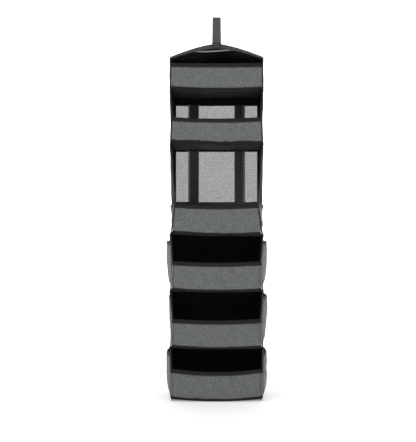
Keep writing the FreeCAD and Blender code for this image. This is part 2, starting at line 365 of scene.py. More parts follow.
def settle(pieces, slack, push):
    """Lets sheets of slightly spare cloth buckle between their sewn edges under their own weight and a
    push from inside, and keeps the shape. Each piece has its sewn points in the group "sewn"."""
    scene = bpy.context.scene
    settings = {
        "vertex_group_mass": "sewn", "quality": 5, "mass": 0.2, "tension_stiffness": 25,
        "compression_stiffness": 25, "shear_stiffness": 12, "bending_stiffness": 0.4, "shrink_min": -slack,
        "use_pressure": True, "uniform_pressure_force": push,
    }
    for piece in pieces:
        cloth = piece.modifiers.new("cloth", "CLOTH")
        for key, value in settings.items():
            setattr(cloth.settings, key, value)
        cloth.collision_settings.use_collision = False
        cloth.point_cache.frame_end = SETTLE_FRAMES
    for number in range(1, SETTLE_FRAMES + 1):
        scene.frame_set(number)
    graph = bpy.context.evaluated_depsgraph_get()
    for piece in pieces:
        moved = [v.co.copy() for v in piece.evaluated_get(graph).data.vertices]
        piece.modifiers.remove(piece.modifiers["cloth"])
        for vertex, place in zip(piece.data.vertices, moved):
            shift = place - vertex.co
            if shift.length > SETTLE_LIMIT:
                shift *= SETTLE_LIMIT / shift.length
            vertex.co += shift
        piece.data.update()
    scene.frame_set(1)


def sew(piece, chosen):
    """Puts the points whose (u, v) chosen picks in the group that stays where it is sewn."""
    group = piece.vertex_groups.new(name="sewn")
    layer = piece.data.uv_layers["cloth"].data
    for loop in piece.data.loops:
        if chosen(*layer[loop.index].uv):
            group.add([loop.vertex_index], 1.0, "REPLACE")


def on_sheet(piece, across, along, flip=1):
    """A function that gives the point at (u, v) on a settled sheet, lifted off it along its normal."""
    wide = len(across)
    points = [v.co.copy() for v in piece.data.vertices]

    def cell(values, value):
        value = min(values[-1], max(values[0], value))
        index = next((i for i in range(len(values) - 1) if value <= values[i + 1]), len(values) - 2)
        return index, (value - values[index]) / (values[index + 1] - values[index])

    def spot(u, v, lift=0.0):
        (column, s), (row, t) = cell(across, u), cell(along, v)
        first = row * wide + column
        a, b, c, d = points[first], points[first + 1], points[first + wide], points[first + wide + 1]
        normal = (b - a + d - c).cross(c - a + d - b).normalized()
        return a * (1 - s) * (1 - t) + b * s * (1 - t) + c * (1 - s) * t + d * s * t + normal * lift * flip

    return spot


panel_nylon = nylon("woven_nylon_panel", "#151618", "#1f2023")
side_low, side_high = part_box("tray_walls_2")
PANEL_X = side_high.x - PANEL / 2 - 0.0002
PANEL_DEEP = side_high.y - side_low.y - PANEL
BACK_SHEET_Y = side_high.y - PANEL / 2 - 0.0002
LIP_TALL = {tray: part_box(f"lip_binding_{tray}")[1].z - FLOOR_Z[tray] for tray in TRAYS}
DRAWN_IN = {1: 0.001, 2: 0.004, 3: 0.0135, 4: 0.0065, 5: 0.0065, 6: 0.002}  # by each lip's binding
BELLY_OUT = {1: 0.0, 2: 0.001, 3: 0.002, 4: 0.002, 5: 0.002, 6: 0.004}  # of the side panels


def draw_in(tray, v):
    """How far the lip's binding draws the side panels' front edges in at a height v: most at its own
    height, less towards the floors below and above, which keep their width."""
    high = CEILING[tray] - FLOOR_Z[tray]
    if v < LIP_TALL[tray]:
        return DRAWN_IN[tray] * (0.25 * share(v, 0.0, 0.008) + 0.75 * (v / LIP_TALL[tray]) ** 1.2)
    return DRAWN_IN[tray] * (1 - share(v, LIP_TALL[tray], high)) ** 0.8


def tuck(v):
    """How far the bottom tray's panels curve in under it, above its narrower floor."""
    return TUCK * (1 - share(v, 0.0, 0.03)) ** 2


def side_panel(tray, side):
    """A side panel between two floors, with u from its front edge back and v up from its floor."""
    high = CEILING[tray] - FLOOR_Z[tray]
    across, along = steps(0, PANEL_DEEP), steps(0, high)

    def place(u, v):
        front = math.exp(-((u / 0.03) ** 2))
        belly = BELLY_OUT[tray] * (1 - front) * math.sin(math.pi * v / high)
        belly *= math.sin(math.pi * u / PANEL_DEEP)
        out = creases(u, v, PANEL_DEEP, high, tray * 3.7 + side) + belly - draw_in(tray, v) * front
        if tray == BOTTOM_TRAY:
            out -= tuck(v)
        return side * (PANEL_X + out), side_low.y + u, FLOOR_Z[tray] + v

    piece = sheet(f"{SIDE_NAME[side]}_panel_{tray}", across, along, place)
    sew(piece, lambda u, v: u < SEWN or u > PANEL_DEEP - SEWN or v < SEWN or v > high - SEWN)
    return piece, across, along, high


WEBBING_WIDE = 0.0255


def window_spans(tray):
    """The three windows of a back panel, as spans of u across the back, and their span of v."""
    low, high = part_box(f"window_mesh_{tray}")
    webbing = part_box(f"back_straps_{tray}")[1].x
    inner = webbing - WEBBING_WIDE
    spans = [(low.x, -webbing), (-inner, inner), (webbing, high.x)]
    return spans, (low.z - FLOOR_Z[tray], high.z - FLOOR_Z[tray])


def back_panel(tray):
    """The back between two floors, with u from left to right and v up from its floor."""
    high = CEILING[tray] - FLOOR_Z[tray]
    wide = 2 * PANEL_X
    across, along = steps(-PANEL_X, PANEL_X, 0.0065), steps(0, high)
    if tray in WINDOWED:
        spans, rows = window_spans(tray)
        cuts = [-PANEL_X] + [edge for span in spans for edge in span] + [PANEL_X]
        across = sorted({u for a, b in zip(cuts, cuts[1:]) for u in steps(a, b, 0.0065)})
        along = sorted(set(steps(0, rows[0]) + steps(rows[0], rows[1]) + steps(rows[1], high)))

    def place(u, v):
        top = 0.0
        if tray == TOP_TRAY:
            top = arch_rise(u, 1.0) * v / high
        out = creases(u + PANEL_X, v, wide, high, tray * 5.3) * 0.7
        narrow = 1 - tuck(v) / PANEL_X if tray == BOTTOM_TRAY else 1.0
        return u * narrow, BACK_SHEET_Y - max(0.0, out), FLOOR_Z[tray] + v + top

    piece = sheet(f"back_panel_{tray}", across, along, place)
    sew(piece, lambda u, v: abs(u) > PANEL_X - SEWN or v < SEWN or v > high - SEWN)
    return piece, across, along, high


ROOF_CLOTH = 0.0018
ROOF_FALL = 1.43  # power of the distance from the middle: an arch drawn to a soft peak by the strap


def arch_rise(x, back):
    """How far the roof's underside at x stands above its corners, from its front (0) to its back (1)."""
    corner = CEILING[TOP_TRAY]
    front_peak, back_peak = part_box("roof_cover")[1].z - ROOF_CLOTH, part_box("tray_walls_1")[1].z
    peak = front_peak + (back_peak - front_peak) * back
    return (peak - corner) * (1 - min(1.0, abs(x) / side_high.x) ** ROOF_FALL)


side_panels = {(tray, side): side_panel(tray, side) for tray in TRAYS for side in SIDE_NAME}
back_panels = {tray: back_panel(tray) for tray in TRAYS}
settle([made[0] for made in list(side_panels.values()) + list(back_panels.values())], slack=0.006, push=0.05)
on_side = {key: on_sheet(*made[:3], flip=key[1]) for key, made in side_panels.items()}
on_back = {tray: on_sheet(*made[:3], flip=-1) for tray, made in back_panels.items()}


# ---- Window mesh ----
# The windows are panes of grey polyester net, cut with a hot knife and sewn into the back panel of
# the second and third compartments.

NET = 0.0006  # the net's drawn thickness


def polyester_net(name, yarn, cover, pitch=0.0026):
    """Knitted polyester net: dull grey yarn in diamonds with holes between. Its holes are drawn 2.6 mm
    apart, about twice the real spacing, so that they show."""
    material, tree, metres = blank_material(name)
    split = add(tree, "SeparateXYZ", {0: metres})
    strands = {}
    for socket, operation in enumerate(("ADD", "SUBTRACT")):
        slant = add(tree, "Math", {0: split.outputs[0], 1: split.outputs[1]}, operation=operation)
        turns = add(tree, "Math", {0: slant, 1: 1 / pitch}, operation="MULTIPLY")
        strands[socket] = add(tree, "Math", {0: turns, 1: 1.0}, operation="PINGPONG")
    strand = add(tree, "Math", strands, operation="MINIMUM")
    edge = 1 - math.sqrt(1 - cover)
    yarn_edge = add(
        tree, "MapRange", {0: strand, 1: edge - 0.16, 2: edge + 0.16, 3: 0.88, 4: 0.2}, clamp=True
    )
    bump = add(tree, "Bump", {"Height": strand, "Distance": 0.0004, "Strength": 0.7}, invert=True)
    return finish_material(material, {
        "Base Color": mottled(tree, metres, 55.0, *yarn), "Alpha": yarn_edge,
        "Normal": bump, "Roughness": 0.7, "Specular IOR Level": 0.25,
    })


def split_off(piece, name, chosen):
    """Cuts the squares whose middle (u, v) chosen picks out of a sheet, as a new piece."""
    mesh = piece.data
    layer = mesh.uv_layers["cloth"].data
    taken, left = [], []
    for polygon in mesh.polygons:
        corners = [layer[i].uv for i in polygon.loop_indices]
        middle = sum(corners, Vector((0, 0))) / len(corners)
        (taken if chosen(*middle) else left).append(polygon)
    made = []
    for title, polygons in ((name, taken), (piece.name, left)):
        used = sorted({i for polygon in polygons for i in polygon.vertices})
        renumber = {old: new for new, old in enumerate(used)}
        uv_of = {mesh.loops[i].vertex_index: tuple(layer[i].uv) for p in polygons for i in p.loop_indices}
        faces = [[renumber[i] for i in polygon.vertices] for polygon in polygons]
        made.append((title, [mesh.vertices[i].co.copy() for i in used], faces, [uv_of[i] for i in used]))
    bpy.data.objects.remove(piece)
    return [make_mesh(*parts) for parts in made]


window_net = polyester_net("polyester_net_window", ("#6f7271", "#858886"), cover=0.7)
for tray in WINDOWED:
    piece, across, along, high = back_panels[tray]
    spans, rows = window_spans(tray)
    panes, piece = split_off(
        piece, f"window_mesh_piece_{tray}",
        lambda u, v: rows[0] < v < rows[1] and any(a < u < b for a, b in spans),
    )
    back_panels[tray] = (piece, across, along, high)
    sum(b - a for a, b in spans) * (rows[1] - rows[0])
    paint(thicken(panes, NET), window_net, "grey_mesh", f"window_mesh_{tray}")
    hang_between(panes, tray)

for (tray, side), (piece, across, along, high) in side_panels.items():
    paint(thicken(piece, PANEL), panel_nylon, "body_cloth")
    hang_between(piece, tray)
for tray, (piece, across, along, high) in back_panels.items():
    upper = [f"upper_walls_{tray}"] if tray != TOP_TRAY else []
    paint(thicken(piece, PANEL), panel_nylon, "body_cloth", f"tray_walls_{tray}", *upper)
    hang_between(piece, tray)


# ---- Back webbing ----
# Two lengths of 25 mm nylon webbing run down the outside of the back and are sewn on along both
# edges. They take the weight of every tray up to the strap.

WEBBING = 0.0013


def ribbed(material, height, span, tones, relief, look):
    """Ends a ribbed material: height, which runs over span, stands up by the distance and strength in
    relief, and sets the colour: painted shade in the grooves and a painted highlight on the rib tops."""
    tree = material.node_tree
    # painted shade and highlight: the colour runs from dark in the grooves to light on the rib tops
    rib_shade_and_highlight = add(tree, "MapRange", {0: height, 1: span[0], 2: span[1], 3: 0.0, 4: 1.0})
    dark, light = (linear(tone) for tone in tones)
    colour = add(tree, "Mix", {"Factor": rib_shade_and_highlight, 6: dark, 7: light}, data_type="RGBA")
    bump = add(tree, "Bump", {"Height": height, "Distance": relief[0], "Strength": relief[1]})
    return finish_material(material, {"Base Color": colour.outputs[2], "Normal": bump, **look})


def nylon_webbing(name, *tones):
    """Woven nylon webbing: dense ribs across its width in a shallow herringbone, dark grey, with a painted
    highlight on the top of each rib and painted shade between. The ribs are drawn 2.2 mm apart so that they show."""
    material, tree, metres = blank_material(name)
    split = add(tree, "SeparateXYZ", {0: metres})
    zigzag = add(tree, "Math", {0: split.outputs[0], 1: 0.004}, operation="PINGPONG")
    slant = add(tree, "Math", {0: zigzag, 1: split.outputs[1]}, operation="ADD")
    ribs = wave(tree, slant, 0.0022)
    look = {"Roughness": 0.5, "Specular IOR Level": 0.2}
    return ribbed(material, ribs, (-1.0, 1.0), tones, (0.0003, 0.7), look)


STITCH = 0.0034  # a stitch's length on the cloth
STITCH_GAP = 0.0012
THREAD = 0.00042


def add_stitch(shape, tail, head, away):
    """Adds one stitch to shape, a list of points, faces and UVs: a short humped length of thread that
    dives into the cloth at both ends."""
    points, faces, uvs = shape
    sideways = (head - tail).normalized().cross(away) * THREAD
    first = len(points)
    for along, lift, girth in ((0.0, -0.4, 0.5), (0.18, 0.7, 1.0), (0.82, 0.7, 1.0), (1.0, -0.4, 0.5)):
        middle = tail.lerp(head, along) + away * THREAD * lift
        for across, up in ((-1, 0), (0, 1), (1, 0), (0, -1)):
            points.append(middle + (sideways * across + away * THREAD * up) * girth)
            uvs.append((first * THREAD + along * (head - tail).length, across * THREAD))
    for ring in range(3):
        for corner in range(4):
            a, b = first + ring * 4 + corner, first + ring * 4 + (corner + 1) % 4
            faces.append((a, b, b + 4, a + 4))
    faces += [tuple(first + i for i in (3, 2, 1, 0)), tuple(first + 12 + i for i in range(4))]


def distances(path):
    """How far along a path each of its points lies."""
    lengths = [0.0]
    for a, b in zip(path, path[1:]):
        lengths.append(lengths[-1] + (b - a).length)
    return lengths


def add_stitches(shape, path, out):
    """Adds a row of stitches along a path of points; out points away from the cloth."""
    lengths = distances(path)

    def walk(distance):
        index = next((i for i in range(1, len(lengths)) if lengths[i] >= distance), len(lengths) - 1)
        a, b = path[index - 1], path[index]
        return a.lerp(b, (distance - lengths[index - 1]) / max(1e-9, lengths[index] - lengths[index - 1]))

    pitch = STITCH + STITCH_GAP
    for number in range(int(lengths[-1] / pitch)):
        start = number * pitch + STITCH_GAP / 2
        add_stitch(shape, walk(start), walk(start + STITCH), out)


def sewn_piece(name, shape, material):
    """Stitches that have been gathered in shape, as one piece."""
    return paint(make_mesh(name, *shape), material, "binding")


def stitch_rows(name, rows, material):
    """One piece that holds several rows of stitches; each row is a path and its out direction."""
    shape = ([], [], [])
    for path, out in rows:
        add_stitches(shape, path, out)
    return sewn_piece(name, shape, material)


def sewing_thread(name, dark, light):
    """Spun polyester thread, twisted: matt, a shade lighter than the cloth that it holds."""
    material, tree, metres = blank_material(name)
    colour = mottled(tree, metres, 700.0, dark, light)
    return finish_material(material, {"Base Color": colour, "Roughness": 0.65})


FORWARDS, BACKWARDS = Vector((0, -1, 0)), Vector((0, 1, 0))
SEAM_INSET = 0.0022  # from the webbing's edges
SEAM_END = 0.002  # from a floor to the first stitch

dark_webbing = nylon_webbing("nylon_webbing_back", "#232322", "#3c3c3a")
dark_thread = sewing_thread("polyester_thread_dark", "#38383a", "#4a4a4c")
for tray in TRAYS:
    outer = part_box(f"back_straps_{tray}")[1].x
    spot, tall = on_back[tray], back_panels[tray][3]
    for side, name in SIDE_NAME.items():
        first_u = outer - WEBBING_WIDE if side > 0 else -outer
        webbing = sheet(
            f"back_webbing_{name}_{tray}", steps(0, WEBBING_WIDE, 0.004), steps(0, tall),
            lambda u, v: spot(first_u + u, v, PANEL / 2 + WEBBING / 2),
        )
        stands_for = [f"back_straps_{tray}"] if side > 0 else []
        paint(thicken(webbing, WEBBING), dark_webbing, "webbing", *stands_for)
        rows = [
            ([spot(first_u + u, v, PANEL / 2 + WEBBING) for v in steps(SEAM_END, tall - SEAM_END)], BACKWARDS)
            for u in (SEAM_INSET, WEBBING_WIDE - SEAM_INSET)
        ]
        seam = stitch_rows(f"back_webbing_stitches_{name}_{tray}", rows, dark_thread)
        hang_between(webbing, tray)
        hang_between(seam, tray)


# ---- Edge tapes ----
# The front edges of the side panels, which are cut edges, are bound with folded 20 mm grosgrain tape,
# sewn through with one row of stitches.

TAPE = 0.0006
TAPE_WRAP = 0.009  # how far the tape reaches back over each face
SEAM_FOLDS = 0.0014  # the folded cloth inside the tape


def grosgrain(name, *tones, rib=0.0018):
    """Polyester grosgrain tape: fine ribs straight across it, matt, dark grey, with painted shade in the
    grooves, a painted highlight on the rib tops and a random fuzz in its tone. The ribs are drawn 1.8 mm apart so
    that they show."""
    material, tree, metres = blank_material(name)
    split = add(tree, "SeparateXYZ", {0: metres})
    fuzz = add(tree, "TexNoise", {"Vector": metres, "Scale": 420.0, "Detail": 2.0})
    fuzzy = {0: wave(tree, split.outputs[0], rib), 1: fuzz}
    height = add(tree, "Math", fuzzy, operation="ADD")
    look = {"Roughness": 0.6, "Specular IOR Level": 0.15}
    # ribbed paints each groove darker and each rib top lighter: painted shade and highlight, plus random fuzz
    return ribbed(material, height, (-0.8, 1.8), tones, (0.00025, 0.6), look)


def wrapped_tape(name, across, ring, place, spacing):
    """Tape folded round an edge: place(u, *ring[row]) puts a point of each row round it, and the rows
    are spacing metres apart on the tape."""
    tape = sheet(name, across, range(len(ring)), lambda u, v: place(u, *ring[round(v)]))
    for loop in tape.data.uv_layers["cloth"].data:
        loop.uv.y *= spacing
    return thicken(tape, TAPE)


CLEAR = PANEL / 2 + TAPE / 2 + SEAM_FOLDS / 2  # from the panel's middle to the tape's
EDGE_RING = [  # how far back from the panel's front edge each row is, and on which face
    (TAPE_WRAP, -0.9), (TAPE_WRAP / 2, -1), (0.0, -1), (-0.0018, -0.85), (-0.0026, -0.4),
    (-0.0026, 0.4), (-0.0018, 0.85), (0.0, 1), (TAPE_WRAP / 2, 1), (TAPE_WRAP, 0.9),
]

edge_tape = grosgrain("polyester_grosgrain_edge", "#28282a", "#39393b")
for (tray, side), spot in on_side.items():
    high = side_panels[tray, side][3]

    def taped(u, back, face):
        place = spot(max(0.0, back), u, CLEAR * face)
        place.y += min(0.0, back)
        return place

    foot = 0.0075 if tray == BOTTOM_TRAY else 0.0
    name = f"{SIDE_NAME[side]}_{tray}"
    tape = wrapped_tape(f"edge_tape_{name}", steps(foot, high), EDGE_RING, taped, TAPE_WRAP / 4)
    hang_between(paint(tape, edge_tape, "binding"), tray)
    rows = []
    for face in (-1, 1):
        lift = (CLEAR + TAPE / 2) * face
        path = [spot(TAPE_WRAP - 0.0016, v, lift) for v in steps(SEAM_END, high - SEAM_END)]
        rows.append((path, Vector((face * side, 0, 0))))
    hang_between(stitch_rows(f"edge_tape_stitches_{name}", rows, dark_thread), tray)


# ---- Facing tapes ----
# Inside, grosgrain as wide as the webbing covers the strip of panel between two windows and the cut
# edges of their net, and another runs along their feet. A narrow grey tape edges each outer pane.

HEM = 0.005
SILL = 0.01

facing_tape = grosgrain("polyester_grosgrain_facing", "#4a4a45", "#5e5e58")
hem_tape = grosgrain("polyester_grosgrain_hem", "#868783", "#9b9c98")
for tray in WINDOWED:
    spot, tall = on_back[tray], back_panels[tray][3]
    (left_end, left_edge), middle, (right_edge, right_end) = window_spans(tray)[0]
    low_v, high_v = window_spans(tray)[1]
    upright = (low_v - 0.002, min(tall - 0.002, high_v + 0.003))
    for name, low_u, high_u, span, lift, tape_material in (
        ("facing_tape_left", left_edge - 0.0005, middle[0] + 0.0005, upright, TAPE / 2, facing_tape),
        ("facing_tape_right", middle[1] - 0.0005, right_edge + 0.0005, upright, TAPE / 2, facing_tape),
        ("facing_tape_sill", left_end, right_end, (low_v - 0.002, low_v + SILL), TAPE * 2.8, facing_tape),
        ("hem_tape_left", left_edge - HEM, left_edge + 0.001, upright, TAPE * 1.6, hem_tape),
        ("hem_tape_right", right_edge - 0.001, right_edge + HEM, upright, TAPE * 1.6, hem_tape),
    ):
        tape = sheet(
            f"{name}_{tray}", steps(low_u, high_u, 0.003), steps(*span),
            lambda u, v: spot(u, v, -PANEL / 2 - lift),
        )
        hang_between(paint(thicken(tape, TAPE), tape_material, "binding"), tray)


# ---- Side pockets ----
# Slack pockets of the same grey net on the outside of the lower four trays' side panels, for cables
# and small things. Each is sewn down on three sides, and elastic tape gathers its open top.

POCKET_TALL = {3: 0.084, 4: 0.137, 5: 0.142, 6: 0.124}
POCKET_LIFT = {3: 0.001, 4: 0.001, 5: 0.001, 6: 0.008}  # from the floor up to the pocket's bottom seam
POCKET_INSET = 0.006  # from the panel's front and back edges
POCKET_BELLY = {  # how far each pocket stands off its panel: left, right
    3: (0.0006, 0.001), 4: (0.0115, 0.0115), 5: (0.003, 0.0115), 6: (0.0105, 0.0105),
}
ELASTIC_TALL = 0.009
ELASTIC_RING = [(-ELASTIC_TALL, -1), (-0.0012, -1), (0.0, 0), (-0.0012, 1), (-ELASTIC_TALL, 1)]

pocket_net = polyester_net("polyester_net_pocket", ("#7b7e7c", "#929593"), cover=0.64)
elastic_tape = grosgrain("elastic_tape", "#3a3b3c", "#57595a", rib=0.0024)
pocket_wide = PANEL_DEEP - 2 * POCKET_INSET
for tray in POCKET_TALL:
    tall, lift = POCKET_TALL[tray], POCKET_LIFT[tray]
    for side, name in SIDE_NAME.items():
        spot = on_side[tray, side]
        stand_off = POCKET_BELLY[tray][side > 0]

        def belly(u, v):
            s, t = u / pocket_wide, v / tall
            round_out = math.sin(math.pi * s ** 0.65) ** 0.7 * math.sin(math.pi * (0.08 + 0.62 * t))
            round_out *= share(t, 0, 0.15)
            gather = 0.0011 * math.sin(2 * math.pi * u / 0.0105 + tray) * share(t, 0.45, 1.0) ** 2
            wander = 0.0016 * drift(u / 0.03, v / 0.035, tray * 2.1 + side)
            rim = min(1.0, min(u, pocket_wide - u, v) / 0.012)
            return PANEL / 2 + 0.0006 + stand_off * max(0.0, round_out) + rim * (gather + wander)

        pocket = sheet(
            f"side_pocket_{name}_{tray}", steps(0, pocket_wide, 0.003), steps(0, tall, 0.004),
            lambda u, v: spot(POCKET_INSET + u, lift + v, max(PANEL / 2 + 0.0004, belly(u, v))),
        )
        stands_for = [f"side_pockets_{tray}"] if side > 0 else []
        paint(thicken(pocket, NET), pocket_net, "grey_mesh", *stands_for)
        hang_between(pocket, tray)

        def hemmed(u, down, face):
            out = max(PANEL / 2 + 0.0014, belly(u, tall + down)) + face * 0.0008
            return spot(POCKET_INSET + u, lift + tall + down + 0.0006, out)

        rim_across = steps(0, pocket_wide, 0.003)
        elastic = wrapped_tape(
            f"pocket_elastic_{name}_{tray}", rim_across, ELASTIC_RING, hemmed, ELASTIC_TALL / 2
        )
        hang_between(paint(elastic, elastic_tape, "binding"), tray)


# ---- Lips ----
# The front of each tray is a strip of grey polyester net, sewn to the floor along its bottom and to
# the panels at its ends. It bellies out, and its top edge dips in the middle.

LIP_DIP = {1: 0.002, 2: 0.0053, 3: 0.0047, 4: 0.0046, 5: 0.0044, 6: 0.0078}  # of the top's middle
LIP_BELLY = {1: 0.001, 2: 0.0015, 3: 0.003, 4: 0.003, 5: 0.003, 6: 0.005}  # half-way up the net
CORNER_TURN = 0.006  # how far from its ends a lip starts to turn back into the seams
BINDING_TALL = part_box("lip_binding_1")[1].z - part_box("lip_binding_1")[0].z


def lip_surface(tray):
    """The lip's surface, with u across from the middle and v up from the floor's bottom edge."""
    tall, half = LIP_TALL[tray], side_high.x

    def place(u, v):
        s, t = u / half, v / tall
        arc = 1 - s * s
        belly = LIP_BELLY[tray] * math.sin(math.pi * share(t, 0, 1)) * (1 - s ** 6)
        out = BULGE[tray] * arc * (FLOOR_BULGE + (1 - FLOOR_BULGE) * t) + belly
        turn = share(abs(u), half - CORNER_TURN, half)
        back = CORNER_TURN * 0.4 * (1 - math.sqrt(1 - turn * turn))
        narrow = draw_in(tray, v) + (tuck(v) if tray == BOTTOM_TRAY else 0.0)
        z = FLOOR_Z[tray] + v + floor_rise(u, side_low.y, tray) * (1 - t) - LIP_DIP[tray] * arc * t
        return Vector((u * (1 - narrow / half), side_low.y - 0.0008 - out + back, z))

    return place


LIP_END = 0.0012  # from a side panel's face to the net's end
LIP_FOOT = 0.002  # from the floor's bottom edge up to the net's
lip_net = polyester_net("polyester_net_lip", ("#686b69", "#858987"), cover=0.66)
lip_surfaces = {tray: lip_surface(tray) for tray in TRAYS}
lip_sheets = {}
for tray in TRAYS:
    place = lip_surfaces[tray]
    across = steps(-side_high.x + LIP_END, side_high.x - LIP_END, 0.005)
    along = steps(LIP_FOOT, LIP_TALL[tray] - BINDING_TALL * 0.4, 0.005)

    def rumpled(u, v):
        rumple = 0.0014 * drift(u / 0.03, v / 0.02, tray * 3.0)
        return place(u, v) + Vector((0, rumple, 0))

    lip = sheet(f"lip_{tray}", across, along, rumpled)
    first, last = along[0] + 0.005, along[-1] - 0.001
    sew(lip, lambda u, v: abs(u) > across[-1] - SEWN or v < first or v > last)
    lip_sheets[tray] = (lip, across, along)
settle([made[0] for made in lip_sheets.values()], slack=0.004, push=0.08)
for tray, (lip, across, along) in lip_sheets.items():
    thicken(lip, 0.0007)
    finish_piece(lip, lip_net, body_of(tray), "grey_mesh", f"lip_mesh_{tray}")


# ---- Edge bands and lip bindings ----
# Folded tape binds both long edges of each lip: a black band along the floor's front edge, which also
# closes the floor's layers, and a dark grey grosgrain binding along the top.

BAND_TALL = {  # of each edge band, at its ends and at its middle
    1: (0.007, 0.004), 2: (0.011, 0.0125), 3: (0.0105, 0.008), 4: (0.0095, 0.0075), 5: (0.0095, 0.006),
    6: (0.009, 0.0075),
}


BAND_RING = [  # how far up the band each row is, and how far out on which face
    (0.0, -1.0), (0.12, -0.85), (0.45, -1.0), (0.84, -0.9), (0.97, -0.55), (1.0, 0.0), (0.97, 0.55),
    (0.84, 0.95), (0.62, 1.15), (0.38, 1.1), (0.16, 0.75), (0.06, 0.85), (0.0, 0.5),
]


def folded_band(name, place, span, plump):
    """Tape folded over an edge: it stands plump metres out from the net on both faces, with rounded
    long edges. span(u) gives its lowest and highest v on the lip's surface place."""
    half = side_high.x - 0.0004

    def wrap(u, up, face):
        bottom, top = span(u)
        wander = 0.00035 * drift(u / 0.012, up * 2, top * 50)
        spot = place(u, bottom + (top - bottom) * up)
        spot.y -= face * plump + wander
        return spot

    tall = span(0.0)[1] - span(0.0)[0]
    return wrapped_tape(name, steps(-half, half, 0.004), BAND_RING, wrap, tall / 6)


band_tape = grosgrain("polyester_tape_band", "#0f0f10", "#1d1d1f")
binding_tape = grosgrain("polyester_grosgrain_binding", "#151514", "#242423")
for tray in TRAYS:
    place = lip_surfaces[tray]
    end_tall, middle_tall = BAND_TALL[tray]
    spans = {
        "edge_band": lambda u: (0.0, middle_tall + (end_tall - middle_tall) * (u / side_high.x) ** 2),
        "lip_binding": lambda u: (LIP_TALL[tray] - BINDING_TALL, LIP_TALL[tray]),
    }
    for name, tape, plump, row in (
        ("edge_band", band_tape, 0.0014, lambda span: span[1] - 0.0016),
        ("lip_binding", binding_tape, 0.0015, lambda span: span[0] + 0.0018),
    ):
        band = folded_band(f"{name}_piece_{tray}", place, spans[name], plump)
        finish_piece(band, tape, body_of(tray), "binding", f"{name}_{tray}")
        path = [
            place(u, row(spans[name](u))) + Vector((0, -plump * 0.85 - TAPE / 2, 0))
            for u in steps(-0.127, 0.127, 0.004)
        ]
        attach(stitch_rows(f"{name}_stitches_{tray}", [(path, FORWARDS)], dark_thread), body_of(tray))


# ---- Corner piping and bar tacks ----
# On the trays with side pockets, a thin cord in light grey tape is sewn into the upright seams where
# lip, panel and pocket meet, and bar tacks in light thread hold each seam's lower end.

PIPING = 0.0011  # radius
PIPED = (4, 5, 6)
TACKED = (3, 4, 5)
TACK_LONG, TACK_WIDE = 0.008, 0.0026
PIPING_INSET = 0.0022  # from the outside of the panels
PIPING_FOOT = 0.012  # from the tray's bottom edge
PIPING_PROUD = 0.0048  # in front of the lip


def tube(name, path, radius, around=8):
    """A closed round tube along a path of points, with UVs along and round it."""
    points, faces, uvs = [], [], []
    walked = 0.0
    for index, middle in enumerate(path):
        ahead = path[min(index + 1, len(path) - 1)] - path[max(index - 1, 0)]
        sideways = ahead.cross(Vector((0, 1, 0.001))).normalized()
        up = sideways.cross(ahead).normalized()
        walked += (middle - path[index - 1]).length if index else 0.0
        girth = radius * (0.5 if index in (0, len(path) - 1) else 1.0)
        for corner in range(around):
            angle = 2 * math.pi * corner / around
            points.append(middle + (sideways * math.cos(angle) + up * math.sin(angle)) * girth)
            uvs.append((walked, angle * radius))
    for ring in range(len(path) - 1):
        for corner in range(around):
            a, b = ring * around + corner, ring * around + (corner + 1) % around
            faces.append((a, b, b + around, a + around))
    last = (len(path) - 1) * around
    faces += [tuple(reversed(range(around))), tuple(last + i for i in range(around))]
    return make_mesh(name, points, faces, uvs)


piping_tape = grosgrain("polyester_piping", "#7c7d7c", "#a09f9d", rib=0.0016)
tack_thread = sewing_thread("polyester_thread_light", "#a9a9a6", "#c4c4c0")
for tray in TACKED + (6,):
    place = lip_surfaces[tray]
    for side, name in SIDE_NAME.items():
        edge = side * (side_high.x - PIPING_INSET)
        if tray in PIPED:
            top = LIP_TALL[tray] - BINDING_TALL
            path = [place(edge, v) + FORWARDS * PIPING_PROUD for v in steps(PIPING_FOOT, top, 0.004)]
            path = [path[0].lerp(path[1], 0.1)] + path  # the cut lower end is turned into the tube
            piping = tube(f"corner_piping_{name}_{tray}", path, PIPING)
            finish_piece(piping, piping_tape, body_of(tray), "binding")
        if tray in TACKED:
            shape = ([], [], [])
            foot = place(edge, 0.0095) + Vector((-side * 0.001, -0.0062, 0))
            lengthwise = Vector((side * 0.45, 0, -0.9)).normalized()
            sideways = Vector((lengthwise.z, 0, -lengthwise.x)) * TACK_WIDE / 2
            for along in steps(-TACK_LONG / 2, TACK_LONG / 2, 0.0007):
                middle = foot + lengthwise * along
                add_stitch(shape, middle - sideways, middle + sideways, FORWARDS)
            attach(sewn_piece(f"corner_tack_{name}_{tray}", shape, tack_thread), body_of(tray))


# ---- Roof ----
# One sheet of the panel nylon, arched from side to side. The strap pulls its front edge up to a soft
# peak; behind it the cloth runs down to the back panel and sags a little between its seams.

roof_low, roof_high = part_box("roof_cover")
roof_deep = roof_high.y - roof_low.y


def roof_place(u, v):
    back = v / roof_deep
    sag = 0.003 * math.sin(math.pi * back) * (1 - abs(u) / side_high.x)
    crease = creases(u + side_high.x, v, 2 * side_high.x, roof_deep, 41.0) * 0.8
    z = CEILING[TOP_TRAY] + arch_rise(u, back) + ROOF_CLOTH / 2 - sag + crease
    return Vector((u, roof_low.y + v, z))


roof_across, roof_along = steps(-side_high.x, side_high.x), steps(0, roof_deep)
roof = sheet("roof", roof_across, roof_along, roof_place)
sew(roof, lambda u, v: abs(u) > side_high.x - SEWN or v < SEWN or v > roof_deep - SEWN)
settle([roof], slack=0.004, push=0.0)
thicken(roof, PANEL)
finish_piece(roof, panel_nylon, "top", "body_cloth", "roof_cover")


# ---- Roof front band ----
# The roof's front edge is turned under and bound, deepest at the middle where the strap lands. The
# inner edge of the turned cloth curls down behind the band, drawn in light grey tape as a painted highlight on the
# fold.

band_low, band_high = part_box("roof_front_band")
ROOF_BAND_MIDDLE = 0.013
ROOF_BAND_CORNER = 0.006
HEM_ROLL = 0.0021  # radius


def band_tall(u):
    return ROOF_BAND_CORNER + (ROOF_BAND_MIDDLE - ROOF_BAND_CORNER) * (1 - abs(u) / side_high.x) ** 1.2


